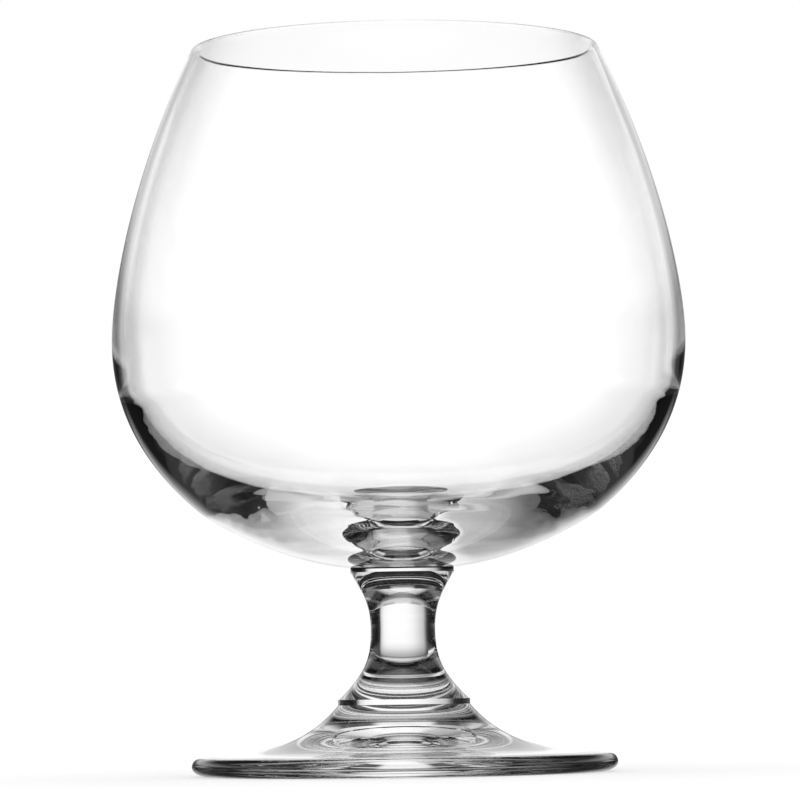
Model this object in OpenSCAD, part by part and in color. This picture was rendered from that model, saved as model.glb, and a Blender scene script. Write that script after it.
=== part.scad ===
// Brandy snifter: a wide blown bowl on a short waisted stem and a round foot.
// The three glass pieces are fused end to end at level, round seats.
// Each piece is turned about the Z axis, and the glass stands on Z = 0.

/* [Bowl] */
// Height of the bowl from its seat on the stem to the rim
bowl_h = 91; // [84:0.5:98]
// Outside diameter of the bowl at its widest ring
bowl_d = 100; // [94:0.5:108]
// Height of the widest ring above the seat
belly_h = 39.5; // [35:0.5:44]
// Outside diameter of the rim
rim_d = 71.4; // [64:0.2:78]
// Lean of the wall from upright just below the rim, in degrees
rim_lean = 26; // [20:1:32]
// Outside diameter at the turn, where the side rolls under into the base
turn_d = 70; // [64:0.5:76]
// Height of the turn above the seat
turn_h = 10; // [8.5:0.25:12]
// Tilt of the wall from level at the turn, in degrees
turn_tilt = 40; // [36:1:46]
// Tilt of the wall from level where it meets the seat, in degrees
seat_tilt = 5; // [3:0.5:10]
// Thickness of the wall at the rim
rim_wall = 1.2; // [1:0.1:2]
// Thickness of the wall at the widest ring
belly_wall = 2.05; // [1.75:0.05:2.35]
// Tilt of the inner face from level where the side turns in to the floor, in degrees
well_tilt = 61; // [58:1:64]
// Thickness of the glass in the middle of the floor
floor_wall = 6; // [5:0.1:7.5]

/* [Stem] */
// Length of the stem from seat to seat
stem_h = 22.8; // [19:0.2:30]
// Diameter of the stem at the bowl
stem_top_d = 18; // [16:0.2:21]
// Height of the upright edge round the top of the stem
stem_edge = 0.8; // [0.5:0.1:1.4]
// Lean of the side from upright just below that edge, in degrees
stem_flare = 33; // [26:1:42]
// Diameter of the waist
waist_d = 11.2; // [9:0.1:13]
// Height of the waist above the foot's seat
waist_h = 12.3; // [10.5:0.1:14]
// Diameter of the stem at the foot
stem_base_d = 22.6; // [20:0.2:24.5]
// Lean of the side from upright at the foot, in degrees
base_flare = 46; // [40:1:52]

/* [Foot] */
// Diameter of the foot
foot_d = 74; // [68:0.5:82]
// Height of the foot from the table to its seat for the stem
foot_h = 13; // [11.5:0.25:16]
// Diameter of the round seat for the stem
seat_d = 23; // [22:0.2:25]
// Height of the upright band below the seat
seat_band = 1; // [0.6:0.1:1.6]
// Tilt of the top from level just below that band, in degrees
cone_tilt = 50; // [44:1:56]
// Tilt of the top from level at the edge, in degrees
brim_tilt = 6; // [4:0.5:8]
// Thickness of the foot at its edge
edge_h = 3.3; // [2.8:0.1:4]
// Height of the roundest point of the edge above the table
edge_mid_h = 1.7; // [1.4:0.1:2.1]
// Reach of the round below that point, from the edge to the resting ring
underround_w = 3; // [2:0.1:4]
// Width of the flat resting ring
ring_w = 2.5; // [1.5:0.1:4]
// Height of the shallow hollow under the foot
hollow_h = 3.8; // [2.8:0.1:4.8]

/* [Hidden] */
$fn = 180;
curve_steps = 22;
round_steps = 10;
glass = [0.93, 0.95, 0.95, 0.45];

// Pull of each curve's two handles, as shares of the distance between its ends
side_pull_shares = [0.47, 0.16];
shoulder_pull_shares = [0.4, 0.32];
base_pull_shares = [0.16, 0.39];
well_pull_shares = [0.628, 0.242];
floor_pull_shares = [0.177, 0.604];
neck_pull_shares = [0.3, 0.5];
skirt_pull_shares = [0.5, 0.36];
cone_pull_shares = [0.3, 0.42];
hollow_pull_shares = [0.3, 0.4];
// Pull that turns a curve's handle into a quarter round, as a share of its reach
quarter_pull_share = 0.5523;

// Place of the inner face's turn, as shares of the way from the outer turn out and up to the widest ring
well_turn_shares = [0.713, 0.592];

stem_z = foot_h;
bowl_z = stem_z + stem_h;
// The top edge of the foot is a quarter round of this radius
edge_r = edge_h - edge_mid_h;

// A step from a point, in a direction given in degrees
function heading(angle) = [cos(angle), sin(angle)];

function bezier_point(a, b, c, d, t) =
    pow(1 - t, 3) * a + 3 * pow(1 - t, 2) * t * b + 3 * (1 - t) * t * t * c + pow(t, 3) * d;

// Points from one handle to the next, without the last one, which the next curve begins with
function bezier(a, b, c, d, steps) =
    [for (i = [0 : steps - 1]) bezier_point(a, b, c, d, i / steps)];

// A curve that leaves one point and reaches the other in the given directions
function curve(start, start_angle, end, end_angle, pull_shares) =
    let (reach = norm(end - start))
    bezier(
        start,
        start + pull_shares[0] * reach * heading(start_angle),
        end - pull_shares[1] * reach * heading(end_angle),
        end,
        curve_steps
    );

// A quarter round between two points, which meets the corner's two sides
function quarter(start, corner, end) =
    bezier(
        start,
        start + quarter_pull_share * (corner - start),
        end + quarter_pull_share * (corner - end),
        end,
        round_steps
    );

function reversed(points) = [for (i = [len(points) - 1 : -1 : 0]) points[i]];

// One face of the bowl's wall, from the rim down round the belly and its turn to its lowest point
function bowl_face(rim, belly, turn, tilt, base, base_angle, turn_pull_shares, low_pull_shares) = concat(
    curve(rim, rim_lean - 90, belly, -90, side_pull_shares),
    curve(belly, -90, turn, tilt - 180, turn_pull_shares),
    curve(turn, tilt - 180, base, base_angle, low_pull_shares),
    [base]
);

module turned(points) {
    rotate_extrude() polygon(points);
}

module bowl() {
    lip_r = rim_wall / 2;
    lip = [rim_d / 2 - lip_r, bowl_h - lip_r];
    belly = [bowl_d / 2, belly_h];
    turn = [turn_d / 2, turn_h];
    rise = belly - turn;
    outside = bowl_face(
        lip + lip_r * heading(rim_lean),
        belly,
        turn,
        turn_tilt,
        [stem_top_d / 2, 0],
        seat_tilt - 180,
        shoulder_pull_shares,
        base_pull_shares
    );
    inside = bowl_face(
        lip - lip_r * heading(rim_lean),
        belly - [belly_wall, 0],
        turn + [well_turn_shares[0] * rise[0], well_turn_shares[1] * rise[1]],
        well_tilt,
        [0, floor_wall],
        -180,
        well_pull_shares,
        floor_pull_shares
    );
    lip_arc = [
        for (i = [1 : round_steps - 1])
            lip + lip_r * heading(rim_lean + 180 - 180 * i / round_steps)
    ];
    color(glass)
        translate([0, 0, bowl_z])
            turned(concat(outside, [[0, 0]], reversed(inside), lip_arc));
}

module stem() {
    base = [stem_base_d / 2, 0];
    waist = [waist_d / 2, waist_h];
    neck = [stem_top_d / 2, stem_h - stem_edge];
    color(glass)
        translate([0, 0, stem_z])
            turned(concat(
                [[0, 0]],
                curve(base, 90 + base_flare, waist, 90, skirt_pull_shares),
                curve(waist, 90, neck, 90 - stem_flare, neck_pull_shares),
                [neck, [stem_top_d / 2, stem_h], [0, stem_h]]
            ));
}

module foot() {
    band = [seat_d / 2, foot_h - seat_band];
    brim = [foot_d / 2 - edge_r, edge_h];
    edge = [foot_d / 2, edge_mid_h];
    ring_out = [foot_d / 2 - underround_w, 0];
    ring_in = [ring_out[0] - ring_w, 0];
    top_line = curve(brim, 180 - brim_tilt, band, 180 - cone_tilt, cone_pull_shares);
    color(glass)
        turned(concat(
            curve([0, hollow_h], 0, ring_in, -brim_tilt, hollow_pull_shares),
            [ring_in],
            quarter(ring_out, [edge[0], 0], edge),
            quarter(edge, [edge[0], brim[1]], brim),
            top_line,
            [band, [seat_d / 2, foot_h], [0, foot_h]]
        ));
}

bowl();
stem();
foot();
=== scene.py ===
import math
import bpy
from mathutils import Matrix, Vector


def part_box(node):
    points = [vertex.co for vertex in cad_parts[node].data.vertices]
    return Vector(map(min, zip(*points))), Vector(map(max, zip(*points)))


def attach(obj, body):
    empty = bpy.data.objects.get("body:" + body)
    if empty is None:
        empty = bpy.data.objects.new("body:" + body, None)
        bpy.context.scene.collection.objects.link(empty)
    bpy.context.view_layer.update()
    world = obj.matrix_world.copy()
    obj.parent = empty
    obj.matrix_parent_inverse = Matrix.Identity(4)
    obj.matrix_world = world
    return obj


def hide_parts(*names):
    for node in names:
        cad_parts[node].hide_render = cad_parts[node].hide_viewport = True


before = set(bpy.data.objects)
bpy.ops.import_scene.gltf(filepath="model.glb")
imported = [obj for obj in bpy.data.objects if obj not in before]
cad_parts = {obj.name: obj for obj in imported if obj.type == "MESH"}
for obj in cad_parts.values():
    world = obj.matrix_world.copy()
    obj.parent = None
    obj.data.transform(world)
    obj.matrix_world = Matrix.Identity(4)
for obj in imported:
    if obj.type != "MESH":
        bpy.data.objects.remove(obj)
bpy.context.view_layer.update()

from types import SimpleNamespace
import bmesh
import bpy
from mathutils import Matrix, Vector

mm = 0.001
scene = bpy.context.scene
scene.view_settings.view_transform = "Standard"
scene.cycles.max_bounces = 22  # thick glass turns light many times before it leaves
scene.cycles.glossy_bounces = 20
scene.cycles.transmission_bounces = 22
stemLow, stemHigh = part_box("stem")
bowlLow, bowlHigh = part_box("bowl")
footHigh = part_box("foot")[1]
print("frame loaded, glass height", round(bowlHigh.z / mm, 1), "mm")


# Camera: a long lens just above the table, tipped up, and rolled a little, as the photo's glass leans
cameraSetup = {
    "distance": 800 * mm, "height": 16.6 * mm, "pitch": 3.466, "roll": -0.87,
    "lens": 206.7, "filmWidth": 36, "across": 0.0006, "nearest": 0.05, "farthest": 50,
}

def makeCamera(setup):
    data = bpy.data.cameras.new("photoCamera")
    data.lens = setup["lens"]
    data.sensor_width = setup["filmWidth"]
    data.shift_x = setup["across"]
    data.clip_start = setup["nearest"]
    data.clip_end = setup["farthest"]
    camera = bpy.data.objects.new("photoCamera", data)
    scene.collection.objects.link(camera)
    pitch = math.radians(setup["pitch"])
    forward = Vector((0, math.cos(pitch), math.sin(pitch)))
    up = Vector((0, -math.sin(pitch), math.cos(pitch)))
    turned = Matrix((Vector((1, 0, 0)), up, -forward)).transposed()
    turned = turned @ Matrix.Rotation(math.radians(setup["roll"]), 3, "Z")
    place = Matrix.Translation((0, -setup["distance"], setup["height"]))
    camera.matrix_world = place @ turned.to_4x4()
    scene.camera = camera

makeCamera(cameraSetup)
print("camera placed")


# Outline helpers: points are (radius, height) in metres
quarterPull = 0.5523  # share of the way to the corner that makes a curve a quarter round

def heading(angle):
    return Vector((math.cos(math.radians(angle)), math.sin(math.radians(angle))))

def bezier(a, b, c, d, steps):
    line = []
    for i in range(steps):
        t = i / steps
        line.append(a * (1 - t) ** 3 + b * 3 * t * (1 - t) ** 2 + c * 3 * t * t * (1 - t) + d * t ** 3)
    return line

def curveLine(start, startAngle, end, endAngle, pulls, steps):
    reach = (end - start).length
    handleA = start + heading(startAngle) * reach * pulls[0]
    handleB = end - heading(endAngle) * reach * pulls[1]
    return bezier(start, handleA, handleB, end, steps)

def quarterRound(start, corner, end, steps):
    return bezier(start, start.lerp(corner, quarterPull), end.lerp(corner, quarterPull), end, steps)

def straightLine(start, end, steps):
    return [start.lerp(end, i / steps) for i in range(steps)]


# Materials
def newMaterial(name):
    material = bpy.data.materials.new(name)
    material.use_nodes = True
    material.node_tree.nodes.clear()
    return material, material.node_tree.nodes, material.node_tree.links

def makeGlass(look):
    material, nodes, links = newMaterial("clearGlass")
    out = nodes.new("ShaderNodeOutputMaterial")
    shader = nodes.new("ShaderNodeBsdfPrincipled")
    shader.inputs["Base Color"].default_value = (*look["tint"], 1)
    shader.inputs["Transmission Weight"].default_value = 1
    shader.inputs["Roughness"].default_value = 0
    shader.inputs["IOR"].default_value = look["ior"]
    place = nodes.new("ShaderNodeTexCoord")
    flow = nodes.new("ShaderNodeTexNoise")  # slow waves left by the mould
    flow.inputs["Scale"].default_value = look["flowScale"]
    flow.inputs["Detail"].default_value = 1
    bump = nodes.new("ShaderNodeBump")
    bump.inputs["Strength"].default_value = look["flowStrength"]
    bump.inputs["Distance"].default_value = look["flowHeight"]
    links.new(place.outputs["Object"], flow.inputs["Vector"])
    links.new(flow.outputs["Fac"], bump.inputs["Height"])
    links.new(bump.outputs["Normal"], shader.inputs["Normal"])
    links.new(shader.outputs["BSDF"], out.inputs["Surface"])
    return material

def makeFusedSeam():
    material, nodes, links = newMaterial("fusedSeam")
    out = nodes.new("ShaderNodeOutputMaterial")
    clear = nodes.new("ShaderNodeBsdfTransparent")  # glass runs on through a fused seat
    links.new(clear.outputs["BSDF"], out.inputs["Surface"])
    return material

glassLook = {
    "tint": (0.99, 0.99, 0.99), "ior": 1.52,
    "flowScale": 60, "flowStrength": 0.1, "flowHeight": 0.02 * mm,
}
clearGlass = makeGlass(glassLook)
fusedSeam = makeFusedSeam()
print("materials made")


# Geometry Nodes lathe: turns the outline points that it is given about the Z axis
latheSetup = {
    "weldGap": 0.001 * mm,
    "aroundShare": 0.25,  # how fast the waves change round the piece, against along its outline
    "noiseMiddle": 0.5,
    "seamShare": 0.999,  # only a face whose corners are all on the seam reaches this
    "sharpAngle": 30,
}

def makeLathe(setup):
    tree = bpy.data.node_groups.new("glassLathe", "GeometryNodeTree")
    inputs = {
        "Outline": "Geometry", "Turns": "Int", "Wave Height": "Float", "Wave Scale": "Float",
        "Seed": "Float", "Glass": "Material", "Seam": "Material",
    }
    for name, kind in inputs.items():
        tree.interface.new_socket(name, in_out="INPUT", socket_type="NodeSocket" + kind)
    tree.interface.new_socket("Piece", in_out="OUTPUT", socket_type="NodeSocketGeometry")
    nodes, links = tree.nodes, tree.links

    def node(kind, **settings):
        made = nodes.new(kind)
        for key, value in settings.items():
            setattr(made, key, value)
        return made

    def work(operation, a, b=None):
        made = node("ShaderNodeMath", operation=operation)
        for socket, value in zip(made.inputs, (a, b)):
            if isinstance(value, (int, float)):
                socket.default_value = value
            elif value is not None:
                links.new(value, socket)
        return made.outputs[0]

    def stored(name):
        made = node("GeometryNodeInputNamedAttribute", data_type="FLOAT")
        made.inputs["Name"].default_value = name
        return made.outputs["Attribute"]

    # a grid with one row for each outline point
    given = node("NodeGroupInput").outputs
    out = node("NodeGroupOutput")
    size = node("GeometryNodeAttributeDomainSize", component="MESH")
    links.new(given["Outline"], size.inputs["Geometry"])
    count = size.outputs["Point Count"]
    grid = node("GeometryNodeMeshGrid")
    links.new(work("ADD", given["Turns"], 1), grid.inputs["Vertices X"])
    links.new(count, grid.inputs["Vertices Y"])
    index = node("GeometryNodeInputIndex").outputs[0]
    along = work("MODULO", index, count)
    around = work("FLOOR", work("DIVIDE", index, count))
    angle = work("MULTIPLY", work("DIVIDE", around, given["Turns"]), math.tau)

    def sampled(kind, field):
        made = node("GeometryNodeSampleIndex", data_type=kind, domain="POINT", clamp=True)
        links.new(given["Outline"], made.inputs["Geometry"])
        links.new(field, made.inputs["Value"])
        links.new(along, made.inputs["Index"])
        return made.outputs["Value"]

    place = node("ShaderNodeSeparateXYZ")
    links.new(sampled("FLOAT_VECTOR", node("GeometryNodeInputPosition").outputs[0]), place.inputs[0])
    turned = node("ShaderNodeCombineXYZ")
    links.new(work("MULTIPLY", place.outputs["X"], work("COSINE", angle)), turned.inputs["X"])
    links.new(work("MULTIPLY", place.outputs["X"], work("SINE", angle)), turned.inputs["Y"])
    links.new(place.outputs["Z"], turned.inputs["Z"])

    flow = grid.outputs["Mesh"]
    for name in ("seam", "wave"):
        store = node("GeometryNodeStoreNamedAttribute", data_type="FLOAT", domain="POINT")
        store.inputs["Name"].default_value = name
        links.new(flow, store.inputs["Geometry"])
        links.new(sampled("FLOAT", stored(name)), store.inputs["Value"])
        flow = store.outputs["Geometry"]

    lay = node("GeometryNodeSetPosition")
    links.new(flow, lay.inputs["Geometry"])
    links.new(turned.outputs[0], lay.inputs["Position"])
    weld = node("GeometryNodeMergeByDistance")
    weld.inputs["Distance"].default_value = setup["weldGap"]
    links.new(lay.outputs["Geometry"], weld.inputs["Geometry"])

    # hand-worked glass is never quite even: its waves run round the piece and change slowly along the way
    spot = node("ShaderNodeSeparateXYZ")
    links.new(node("GeometryNodeInputPosition").outputs[0], spot.inputs[0])
    across, deep, up = spot.outputs
    reach = work("SQRT", work("ADD", work("MULTIPLY", across, across), work("MULTIPLY", deep, deep)))
    ringed = node("ShaderNodeCombineXYZ")
    links.new(work("MULTIPLY", across, setup["aroundShare"]), ringed.inputs["X"])
    links.new(work("MULTIPLY", deep, setup["aroundShare"]), ringed.inputs["Y"])
    links.new(work("ADD", reach, up), ringed.inputs["Z"])
    waves = node("ShaderNodeTexNoise", noise_dimensions="4D")
    links.new(ringed.outputs[0], waves.inputs["Vector"])
    links.new(given["Seed"], waves.inputs["W"])
    links.new(given["Wave Scale"], waves.inputs["Scale"])
    waves.inputs["Detail"].default_value = 1
    swing = work("SUBTRACT", waves.outputs["Fac"], setup["noiseMiddle"])
    lift = work("MULTIPLY", work("MULTIPLY", swing, given["Wave Height"]), stored("wave"))
    push = node("ShaderNodeVectorMath", operation="SCALE")
    links.new(node("GeometryNodeInputNormal").outputs[0], push.inputs["Vector"])
    links.new(lift, push.inputs["Scale"])
    ripple = node("GeometryNodeSetPosition")
    links.new(weld.outputs["Geometry"], ripple.inputs["Geometry"])
    links.new(push.outputs[0], ripple.inputs["Offset"])

    smooth = node("GeometryNodeSetShadeSmooth")
    links.new(ripple.outputs["Geometry"], smooth.inputs["Geometry"])
    real = node("GeometryNodeRealizeInstances")
    links.new(smooth.outputs["Geometry"], real.inputs["Geometry"])
    clad = node("GeometryNodeSetMaterial")
    links.new(real.outputs["Geometry"], clad.inputs["Geometry"])
    links.new(given["Glass"], clad.inputs["Material"])
    join = node("GeometryNodeSetMaterial")
    links.new(clad.outputs["Geometry"], join.inputs["Geometry"])
    links.new(given["Seam"], join.inputs["Material"])
    links.new(work("GREATER_THAN", stored("seam"), setup["seamShare"]), join.inputs["Selection"])
    links.new(join.outputs["Geometry"], out.inputs["Piece"])
    return tree

glassLathe = makeLathe(latheSetup)

# Each stretch holds its points, 1 for a fused seat or else 0, and its share of the waves.
# That share may be a function of the point
def makeOutline(name, stretches):
    points, seams, waves = [], [], []
    for line, seam, wave in stretches:
        points += line
        seams += [seam] * len(line)
        waves += [wave(p) if callable(wave) else wave for p in line]
    outline = bpy.data.meshes.new(name)
    outline.from_pydata([(p[0], 0, p[1]) for p in points], [], [])
    for label, values in (("seam", seams), ("wave", waves)):
        column = outline.attributes.new(label, "FLOAT", "POINT")
        column.data.foreach_set("value", [float(v) for v in values])
    return outline

def cleanMesh(mesh):
    work = bmesh.new()
    work.from_mesh(mesh)
    # the outline's run along the axis leaves a bare edge there
    bmesh.ops.delete(work, geom=[e for e in work.edges if not e.link_faces], context="EDGES")
    bmesh.ops.recalc_face_normals(work, faces=work.faces)
    if work.calc_volume(signed=True) < 0:
        bmesh.ops.reverse_faces(work, faces=work.faces)
    openEdges = sum(1 for e in work.edges if len(e.link_faces) != 2)
    volume = work.calc_volume(signed=True)
    work.to_mesh(mesh)
    work.free()
    while None in list(mesh.materials):
        mesh.materials.pop(index=list(mesh.materials).index(None))
    mesh.set_sharp_from_angle(angle=math.radians(latheSetup["sharpAngle"]))
    print(mesh.name, len(mesh.polygons), "faces", openEdges, "open edges", round(volume / mm ** 3), "mm3")

def turnPiece(name, node, stretches, shape):
    piece = bpy.data.objects.new(name, makeOutline(name + "Outline", stretches))
    scene.collection.objects.link(piece)
    lathe = piece.modifiers.new("lathe", "NODES")
    lathe.node_group = glassLathe
    values = {
        "Turns": shape["turns"], "Wave Height": shape["waveHeight"], "Wave Scale": shape["waveScale"],
        "Seed": shape["seed"], "Glass": clearGlass, "Seam": fusedSeam,
    }
    for item in glassLathe.interface.items_tree:
        if item.name in values:
            lathe[item.identifier] = values[item.name]
    bpy.context.view_layer.update()
    mesh = bpy.data.meshes.new_from_object(piece.evaluated_get(bpy.context.evaluated_depsgraph_get()))
    piece.modifiers.remove(lathe)
    piece.data = mesh
    mesh.name = name
    cleanMesh(mesh)
    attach(piece, "root")
    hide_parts(node)
    return piece


# Stem
stemShape = {
    "topRadius": 9 * mm, "edge": 0.8 * mm, "flare": 33, "waistRadius": 5.6 * mm, "waistRise": 12.3 * mm,
    "baseFlare": 46, "skirtPulls": (0.5, 0.36), "neckPulls": (0.3, 0.5),
    "sideSteps": 40, "edgeSteps": 4, "seatSteps": 12,
    "turns": 192, "waveHeight": 0.02 * mm, "waveScale": 200, "seed": 1.0,
}

def makeStem(shape):
    base = Vector((stemHigh.x, stemLow.z))
    waist = Vector((shape["waistRadius"], stemLow.z + shape["waistRise"]))
    neck = Vector((shape["topRadius"], stemHigh.z - shape["edge"]))
    top = Vector((shape["topRadius"], stemHigh.z))
    steps = shape["sideSteps"]
    side = (curveLine(base, 90 + shape["baseFlare"], waist, 90, shape["skirtPulls"], steps)
            + curveLine(waist, 90, neck, 90 - shape["flare"], shape["neckPulls"], steps)
            + straightLine(neck, top, shape["edgeSteps"]))
    lowerMiddle, upperMiddle = Vector((0, base.y)), Vector((0, top.y))
    lower = straightLine(lowerMiddle, base, shape["seatSteps"])
    upper = straightLine(top, upperMiddle, shape["seatSteps"]) + [upperMiddle]
    stretches = [(lower, 1, 0), (side[:1], 1, 0), (side[1:], 0, 1), (upper, 1, 0)]
    return turnPiece("stemGlass", "stem", stretches, shape)

makeStem(stemShape)


# Bowl
bowlShape = {
    "rimRadius": 35.7 * mm, "rimLean": 26, "rimWall": 1.2 * mm,
    "bellyRise": 39.5 * mm, "bellyWall": 2.05 * mm,
    "turnRadius": 35 * mm, "turnRise": 10 * mm, "turnTilt": 40, "seatTilt": 5,
    "wellRadius": 45.695 * mm, "wellRise": 27.464 * mm, "wellTilt": 61, "floorWall": 6 * mm,
    "sidePulls": (0.47, 0.16), "shoulderPulls": (0.4, 0.32), "basePulls": (0.16, 0.39),
    "wellPulls": (0.628, 0.242), "floorPulls": (0.177, 0.604),
    "sideSteps": 44, "baseSteps": 40, "wellSteps": 20, "floorSteps": 80, "lipSteps": 14, "seatSteps": 12,
    "turns": 256, "waveHeight": 0.1 * mm, "waveScale": 330, "seed": 3.0,
    # the inner face is wavy over the floor, less so in its middle and hardly up the side
    "waveLeast": 0.1, "waveStart": 6 * mm, "waveStartFade": 12 * mm,
    "waveEnd": 36 * mm, "waveEndFade": 10 * mm,
}

def makeBowl(shape):
    seatZ = bowlLow.z
    lean, sideSteps = shape["rimLean"], shape["sideSteps"]
    lipRadius = shape["rimWall"] / 2
    lip = Vector((shape["rimRadius"] - lipRadius, bowlHigh.z - lipRadius))
    rimOut, rimIn = lip + heading(lean) * lipRadius, lip - heading(lean) * lipRadius
    belly = Vector((bowlHigh.x, seatZ + shape["bellyRise"]))
    turn = Vector((shape["turnRadius"], seatZ + shape["turnRise"]))
    seatEdge, seatMiddle = Vector((stemShape["topRadius"], seatZ)), Vector((0, seatZ))
    turnAngle, seatAngle = shape["turnTilt"] - 180, shape["seatTilt"] - 180
    outside = (curveLine(rimOut, lean - 90, belly, -90, shape["sidePulls"], sideSteps)
               + curveLine(belly, -90, turn, turnAngle, shape["shoulderPulls"], sideSteps)
               + curveLine(turn, turnAngle, seatEdge, seatAngle, shape["basePulls"], shape["baseSteps"]))
    bellyIn = belly - Vector((shape["bellyWall"], 0))
    well = Vector((shape["wellRadius"], seatZ + shape["wellRise"]))
    wellAngle = shape["wellTilt"] - 180
    floorMiddle = Vector((0, seatZ + shape["floorWall"]))
    inside = (curveLine(rimIn, lean - 90, bellyIn, -90, shape["sidePulls"], sideSteps)
              + curveLine(bellyIn, -90, well, wellAngle, shape["wellPulls"], shape["wellSteps"])
              + curveLine(well, wellAngle, floorMiddle, -180, shape["floorPulls"], shape["floorSteps"])
              + [floorMiddle])
    steps = shape["lipSteps"]
    lipArc = [lip + heading(lean + 180 - 180 * i / steps) * lipRadius for i in range(1, steps)]
    seat = straightLine(seatEdge, seatMiddle, shape["seatSteps"]) + [seatMiddle]

    def waviness(point):
        inner = (point[0] - shape["waveStart"]) / shape["waveStartFade"]
        outer = (shape["waveEnd"] - point[0]) / shape["waveEndFade"]
        return max(shape["waveLeast"], min(1, inner, outer))

    stretches = [(outside, 0, 0), (seat, 1, 0), (inside[::-1], 0, waviness), (lipArc + [rimOut], 0, 0)]
    return turnPiece("bowlGlass", "bowl", stretches, shape)

makeBowl(bowlShape)


# Foot
footShape = {
    "seatRadius": 11.5 * mm, "band": 1 * mm, "coneTilt": 50, "brimTilt": 6, "edgeHeight": 3.3 * mm,
    "edgeMiddle": 1.7 * mm, "underRound": 3 * mm, "ring": 2.5 * mm, "hollow": 3.8 * mm,
    "conePulls": (0.3, 0.42), "hollowPulls": (0.3, 0.4),
    "hollowSteps": 40, "ringSteps": 4, "edgeSteps": 16, "coneSteps": 48, "bandSteps": 3, "seatSteps": 12,
    "turns": 256, "waveHeight": 0.03 * mm, "waveScale": 150, "seed": 2.0,
}

def makeFoot(shape):
    edgeRadius = shape["edgeHeight"] - shape["edgeMiddle"]
    band = Vector((shape["seatRadius"], footHigh.z - shape["band"]))
    brim = Vector((footHigh.x - edgeRadius, shape["edgeHeight"]))
    edge = Vector((footHigh.x, shape["edgeMiddle"]))
    ringOut = Vector((footHigh.x - shape["underRound"], 0))
    ringIn = ringOut - Vector((shape["ring"], 0))
    hollowTop = Vector((0, shape["hollow"]))
    under = curveLine(hollowTop, 0, ringIn, -shape["brimTilt"], shape["hollowPulls"], shape["hollowSteps"])
    around = (straightLine(ringIn, ringOut, shape["ringSteps"])
              + quarterRound(ringOut, Vector((edge.x, 0)), edge, shape["edgeSteps"])
              + quarterRound(edge, Vector((edge.x, brim.y)), brim, shape["edgeSteps"]))
    brimAngle, bandAngle = 180 - shape["brimTilt"], 180 - shape["coneTilt"]
    cone = curveLine(brim, brimAngle, band, bandAngle, shape["conePulls"], shape["coneSteps"])
    seatEdge = Vector((shape["seatRadius"], footHigh.z))
    bandLine = straightLine(band, seatEdge, shape["bandSteps"]) + [seatEdge]
    joint, seatMiddle = Vector((stemHigh.x, footHigh.z)), Vector((0, footHigh.z))
    seat = straightLine(joint, seatMiddle, shape["seatSteps"]) + [seatMiddle]
    stretches = [(under, 0, 1), (around, 0, 0), (cone, 0, 1), (bandLine, 0, 0), (seat, 1, 0)]
    return turnPiece("footGlass", "foot", stretches, shape)

makeFoot(footShape)
print("glass turned")


# Shader helpers
def linear(tone):  # from a tone of 0 to 255 to its amount of light, on the sRGB curve
    share = tone / 255
    return share / 12.92 if share < 0.04045 else ((share + 0.055) / 1.055) ** 2.4

# The tools lay nodes in one tree, and turns, crossings and inGlass say what became of the light
def shaderTools(nodes, links):
    def feed(sockets, values):
        for socket, value in zip(sockets, values):
            if isinstance(value, (int, float)):
                socket.default_value = value
            else:
                links.new(value, socket)

    def work(operation, *values):
        made = nodes.new("ShaderNodeMath")
        made.operation = operation
        feed(made.inputs, values)
        return made.outputs[0]

    def ramp(value, stops):
        low, high = stops[0][0], stops[-1][0]
        colors = nodes.new("ShaderNodeValToRGB")
        elements = colors.color_ramp.elements
        elements.remove(elements[1])
        elements[0].position = 0
        for at, shade in stops[1:]:
            elements.new((at - low) / (high - low))
        for stop, (at, shade) in zip(elements, stops):
            stop.color = (shade, shade, shade, 1)
        links.new(work("DIVIDE", work("SUBTRACT", value, low), high - low), colors.inputs[0])
        return colors.outputs[0]

    def tones(value, stops):
        return ramp(value, [(at, linear(tone)) for at, tone in stops])

    def mix(share, first, second):
        made = nodes.new("ShaderNodeMix")
        feed([made.inputs[name] for name in ("Factor", "A", "B")], (share, first, second))
        return made.outputs[0]

    def mixShaders(share, first, second):
        made = nodes.new("ShaderNodeMixShader")
        feed(made.inputs, (share, first, second))
        return made.outputs[0]

    def times(a, b):
        return work("MULTIPLY", a, b)

    def larger(a, b):
        return work("MAXIMUM", a, b)

    def above(value, limit):
        return work("GREATER_THAN", value, limit)

    def below(value, limit):
        return work("LESS_THAN", value, limit)

    def size(value):
        return work("ABSOLUTE", value)

    path = nodes.new("ShaderNodeLightPath").outputs
    return SimpleNamespace(
        work=work, ramp=ramp, tones=tones, mix=mix, mixShaders=mixShaders,
        times=times, larger=larger, above=above, below=below, size=size,
        turns=path["Glossy Depth"], crossings=path["Transmission Depth"],
        inGlass=larger(path["Is Transmission Ray"], path["Is Glossy Ray"]),
    )


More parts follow.
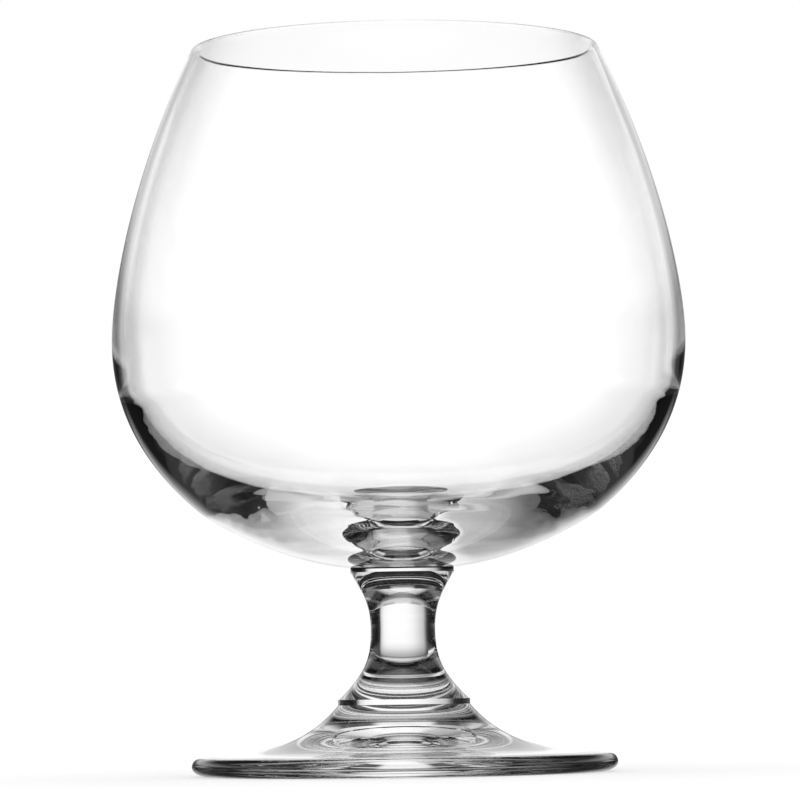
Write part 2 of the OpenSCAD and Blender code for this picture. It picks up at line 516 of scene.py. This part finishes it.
# Sky: white to the camera. Light that met glass sees a softbox behind the glass, and dark cards beside it.
# Bearings and heights are in degrees, from the back and from level, and tones run from 0 to 255
skyLook = {
    "glow": 1.0,  # to the camera
    "solidGain": 1.1, "thinGain": 1.3,  # through thick glass, and through both thin walls
    # tones by bearing: for light that the glass never turned
    "straight": (
        (-180, 250), (-90, 250), (-78, 60), (-66, 22), (-44, 30), (-38, 55), (-34, 110), (-29, 190),
        (-20, 221), (-13, 241), (-6, 251), (0, 254), (18, 254), (26, 245), (31, 215), (35, 60),
        (40, 24), (58, 18), (70, 40), (82, 250), (180, 250),
    ),
    # for light that it turned more than once, or that leaves it steeply
    "turnedOften": (
        (-180, 50), (-158, 30), (-148, 22), (-114, 22), (-107, 215), (-70, 200), (-60, 25), (-48, 30),
        (-43, 80), (-32, 145), (-25, 175), (-12, 195), (-7, 245), (0, 254), (10, 254), (18, 240),
        (28, 225), (36, 190), (42, 165), (45, 60), (48, 22), (60, 15), (71, 215), (107, 215),
        (114, 22), (148, 22), (158, 30), (180, 50),
    ),
    # for light that it turned once and that leaves it this near level
    "onceHeight": 16,
    "turnedOnce": (
        (-180, 240), (-166, 190), (-158, 90), (-148, 45), (-100, 30), (-60, 28), (-38, 40), (-33, 212),
        (-28, 205), (-24, 150), (-20, 90), (-11, 90), (-8, 235), (8, 235), (11, 90), (24, 90),
        (29, 175), (33, 222), (40, 222), (46, 100), (52, 30), (60, 25), (100, 28), (140, 32),
        (148, 45), (158, 90), (166, 190), (180, 240),
    ),
    # shares of those tones by height: for light turned once, turned, never turned, back in the glass a
    # second time, and turned away to the sides
    "heightsOnce": ((-90, 0.3), (0.5, 0.3), (3, 1), (90, 1)),
    "heightsTurned": (
        (-90, 0.62), (-35, 0.66), (-25, 0.72), (-20, 0.8), (-15, 0.9), (-10, 0.96), (-5, 1),
        (38, 1), (44, 0.03), (90, 0),
    ),
    "heightsStraight": (
        (-90, 0.35), (-26, 0.38), (-21, 0.48), (-16, 0.62), (-11, 0.8), (-5, 0.98), (0, 1),
        (38, 1), (44, 0.03), (90, 0),
    ),
    "heightsDeep": (
        (-90, 0.9), (-30, 0.9), (-5, 1), (15, 1), (20, 0.8), (25, 0.6), (31, 0.18), (38, 0.04), (90, 0),
    ),
    "heightsAside": ((-90, 0.3), (-45, 0.4), (-20, 0.7), (-5, 1), (25, 1), (36, 0.2), (90, 0)),
    "asideBearing": 60,
    "overhead": ((-90, 0), (52, 0), (58, 190), (65, 238), (90, 245)),  # tones added high above
    # steep down to the sides, light that was never turned finds the pale floor
    "paleDown": ((-90, 1), (-23, 1), (-18, 0), (90, 0)),
    "paleMiddle": 20, "paleReach": 59, "paleLight": 1.05,
    # light that was turned very often before it left is dimmed above and to the sides
    "longHeight": 30, "longBearing": 42, "longDimming": 0.95,
    # what the outer skin mirrors is dark, but pale in a strip above and in a patch right behind the glass
    "mirrored": ((-90, 90), (-20, 60), (4, 25), (7, 90), (11, 245), (17, 245), (26, 70), (90, 40)),
    "patchAcross": ((-24, 0), (-9, 1), (9, 1), (24, 0)),
    "patchUp": ((-90, 0), (-34, 0), (-13, 0.9), (-4, 0.9), (-1, 0.1), (8, 0.1), (11, 1), (90, 1)),
    "nearAcross": ((-8, 0), (-4, 1), (4, 1), (8, 0)), "nearLow": -4,  # the patch's middle, from here up
    # light that crossed both thin walls and was never turned finds the white sky alone, near level
    "heightsThin": ((-90, 0.35), (-45, 0.35), (-34, 0.9), (-5, 1), (90, 1)),
    "thinMiddle": -11, "thinReach": 25,
    # limits between one count and the next: of crossings of the skin, and of turns in the glass
    "oneCrossing": 0.5, "threeCrossings": 2.5, "fourCrossings": 3.5,
    "oneTurn": 0.5, "twoTurns": 1.5, "longTurns": 6.5,
    "turnWeight": 99,  # one turn outweighs all the crossings
}

def makeWorld(look):
    world = bpy.data.worlds.new("studioSky")
    world.use_nodes = True
    nodes, links = world.node_tree.nodes, world.node_tree.links
    use = shaderTools(nodes, links)
    sky = nodes["Background"]
    sky.inputs["Color"].default_value = (1, 1, 1, 1)
    split = nodes.new("ShaderNodeSeparateXYZ")
    links.new(nodes.new("ShaderNodeTexCoord").outputs["Generated"], split.inputs[0])
    degrees = 180 / math.pi
    bearing = use.times(use.work("ARCTAN2", split.outputs["X"], split.outputs["Y"]), degrees)
    height = use.times(use.work("ARCSINE", split.outputs["Z"]), degrees)
    fromBack, fromLevel = use.size(bearing), use.size(height)
    entered = use.above(use.crossings, look["oneCrossing"])
    turned = use.times(use.above(use.turns, look["oneTurn"]), entered)

    # tones by bearing
    once = use.times(use.tones(bearing, look["turnedOnce"]), use.ramp(height, look["heightsOnce"]))
    onceOnly = use.times(use.below(use.turns, look["twoTurns"]), use.below(fromLevel, look["onceHeight"]))
    tone = use.mix(onceOnly, use.tones(bearing, look["turnedOften"]), once)
    tone = use.mix(turned, use.tones(bearing, look["straight"]), tone)

    # shares by height
    share = use.ramp(height, look["heightsStraight"])
    share = use.mix(turned, share, use.ramp(height, look["heightsTurned"]))
    deep = use.above(use.crossings, look["threeCrossings"])
    share = use.mix(deep, share, use.ramp(height, look["heightsDeep"]))
    aside = use.times(turned, use.above(fromBack, look["asideBearing"]))
    share = use.mix(aside, share, use.ramp(height, look["heightsAside"]))
    solid = use.work("ADD", use.times(tone, share), use.tones(height, look["overhead"]))

    # the pale floor, seen steeply
    pale = use.times(use.ramp(height, look["paleDown"]), use.work("SUBTRACT", 1, turned))
    fromPale = use.size(use.work("SUBTRACT", bearing, look["paleMiddle"]))
    pale = use.times(pale, use.above(fromPale, look["paleReach"]))
    solid = use.mix(pale, solid, look["paleLight"])

    # light that was turned very often
    long = use.above(use.turns, look["longTurns"])
    trapped = use.times(long, use.below(use.crossings, look["threeCrossings"]))
    offBox = use.larger(use.above(height, look["longHeight"]), use.above(fromBack, look["longBearing"]))
    dimming = use.times(use.times(trapped, offBox), look["longDimming"])
    solid = use.times(solid, use.work("SUBTRACT", 1, dimming))

    # what the outer skin mirrors
    patch = use.times(use.ramp(bearing, look["patchAcross"]), use.ramp(height, look["patchUp"]))
    near = use.times(use.ramp(bearing, look["nearAcross"]), use.above(height, look["nearLow"]))
    mirror = use.larger(use.tones(height, look["mirrored"]), use.larger(patch, near))
    solid = use.mix(use.below(use.crossings, look["oneCrossing"]), solid, mirror)
    solid = use.times(solid, look["solidGain"])

    # thin walls
    straight = use.work("SUBTRACT", use.crossings, use.times(use.turns, look["turnWeight"]))
    nearLevel = use.below(use.size(use.work("SUBTRACT", height, look["thinMiddle"])), look["thinReach"])
    thin = use.times(use.above(straight, look["fourCrossings"]), nearLevel)
    through = use.mix(thin, solid, use.times(use.ramp(height, look["heightsThin"]), look["thinGain"]))
    links.new(use.mix(use.inGlass, look["glow"], through), sky.inputs["Strength"])
    scene.world = world


# Floor: to the camera it is white, with the glass's shadow. Light that met glass sees the sky through it,
# made dimmer toward the foot by painted shadow, and a painted glow under the middle of the foot
floorLook = {
    "half": 4.0, "shade": 0.55, "level": 1.05,
    # shares of the sky by distance from the axis in millimetres: painted shadow of the foot, darker near
    # the axis
    "shares": (
        (0, 0.12), (7, 0.12), (13, 0.14), (17, 0.14), (20, 0.5), (26, 0.5), (31, 0.9),
        (35, 0.6), (43, 0.6), (50, 1), (60, 1),
    ),
    # painted light: light that comes down the stem after several turns finds a glowing disc painted on the
    # floor under the middle of the foot
    "glowDiscRadius": 17, "paintedGlowStrength": 0.8, "glowDiscTurns": 2.5,
}

def makeFloor(look):
    material, nodes, links = newMaterial("paleFloor")
    use = shaderTools(nodes, links)
    out = nodes.new("ShaderNodeOutputMaterial")
    matt = nodes.new("ShaderNodeBsdfDiffuse")
    matt.inputs["Color"].default_value = (look["shade"], look["shade"], look["shade"], 1)
    glow = nodes.new("ShaderNodeEmission")
    glow.inputs["Strength"].default_value = look["level"] - look["shade"]
    both = nodes.new("ShaderNodeAddShader")
    links.new(matt.outputs[0], both.inputs[0])
    links.new(glow.outputs[0], both.inputs[1])
    flat = nodes.new("ShaderNodeVectorMath")
    flat.operation = "LENGTH"
    links.new(nodes.new("ShaderNodeTexCoord").outputs["Object"], flat.inputs[0])
    away = use.times(flat.outputs["Value"], 1 / mm)
    # painted shadow: the sky seen through the floor is dimmed near the foot by these shares
    clear = nodes.new("ShaderNodeBsdfTransparent")
    links.new(use.ramp(away, look["shares"]), clear.inputs["Color"])
    # painted light: a glowing disc under the middle of the foot, seen only by light that turned several
    # times in the glass
    paintedGlowDisc = nodes.new("ShaderNodeEmission")
    paintedGlowDisc.inputs["Strength"].default_value = look["paintedGlowStrength"]
    lit = use.times(use.above(use.turns, look["glowDiscTurns"]), use.below(away, look["glowDiscRadius"]))
    below = use.mixShaders(lit, clear.outputs[0], paintedGlowDisc.outputs[0])
    links.new(use.mixShaders(use.inGlass, both.outputs[0], below), out.inputs["Surface"])
    h = look["half"]
    mesh = bpy.data.meshes.new("floor")
    mesh.from_pydata([(-h, -h, 0), (h, -h, 0), (h, h, 0), (-h, h, 0)], [], [(0, 1, 2, 3)])
    mesh.materials.append(material)
    floor = bpy.data.objects.new("floor", mesh)
    scene.collection.objects.link(floor)

makeWorld(skyLook)
makeFloor(floorLook)
print("studio lit")
